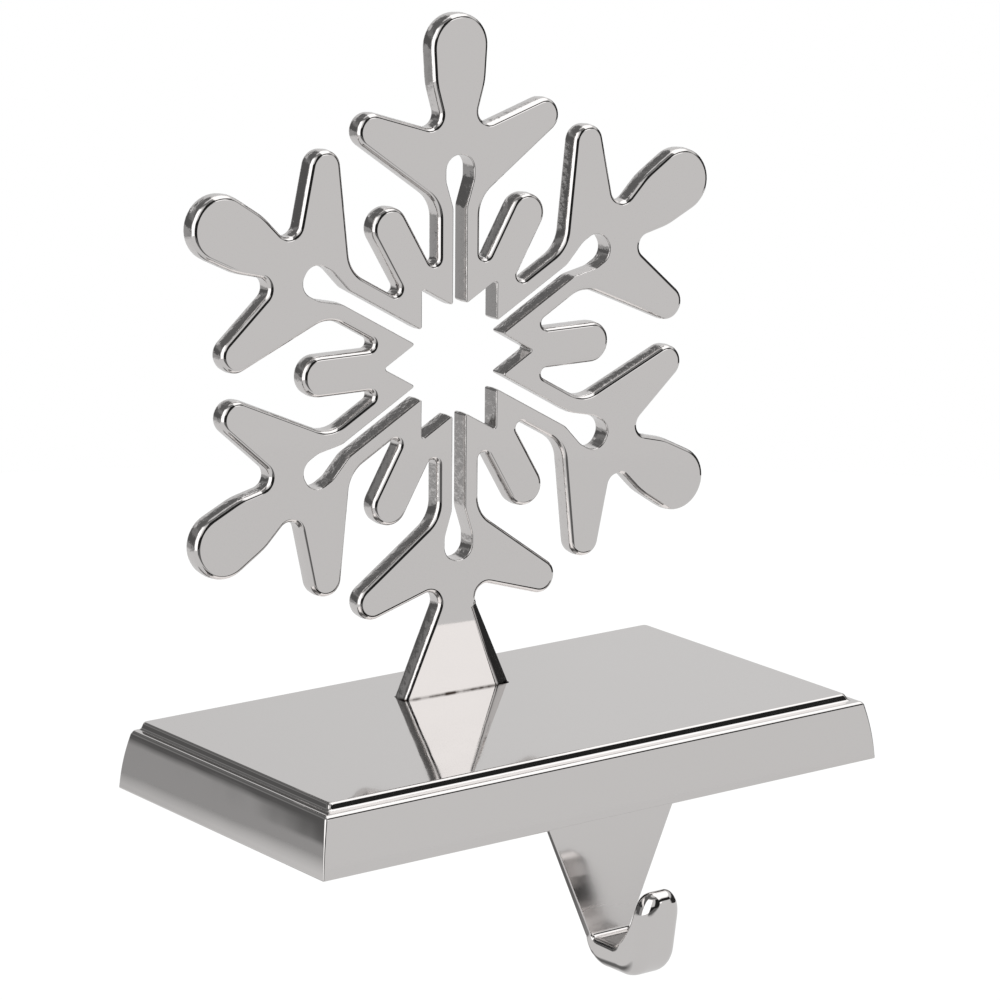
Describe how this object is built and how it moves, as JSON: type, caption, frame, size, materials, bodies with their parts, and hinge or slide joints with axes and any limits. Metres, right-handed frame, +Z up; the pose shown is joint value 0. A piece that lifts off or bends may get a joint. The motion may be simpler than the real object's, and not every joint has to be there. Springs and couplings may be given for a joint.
{
  "type": "mantel stocking holder",
  "caption": "Polished cast snowflake figure on a weighted rectangular base that sits on a mantel shelf, with a J-hook below its front edge to hang a stocking from.",
  "frame": {"origin": "middle of the pad's underside, on the mantel top", "axes": "+Z up, -Y to the front, where the hook hangs below the mantel's edge, +X along the base to the right"},
  "size_m": [0.127, 0.083, 0.1685],
  "materials": {
    "polished_base": "polished nickel plate over cast zinc",
    "polished_figure": "polished nickel plate over cast zinc",
    "screw_steel": "bright zinc-plated steel",
    "pad_rubber": "matt foam rubber"
  },
  "bodies": {
    "root": {"base_with_hook": "polished_base", "snowflake": "polished_figure", "fixing_screw": "screw_steel", "non_slip_pad": "pad_rubber"}
  },
  "joints": []
}
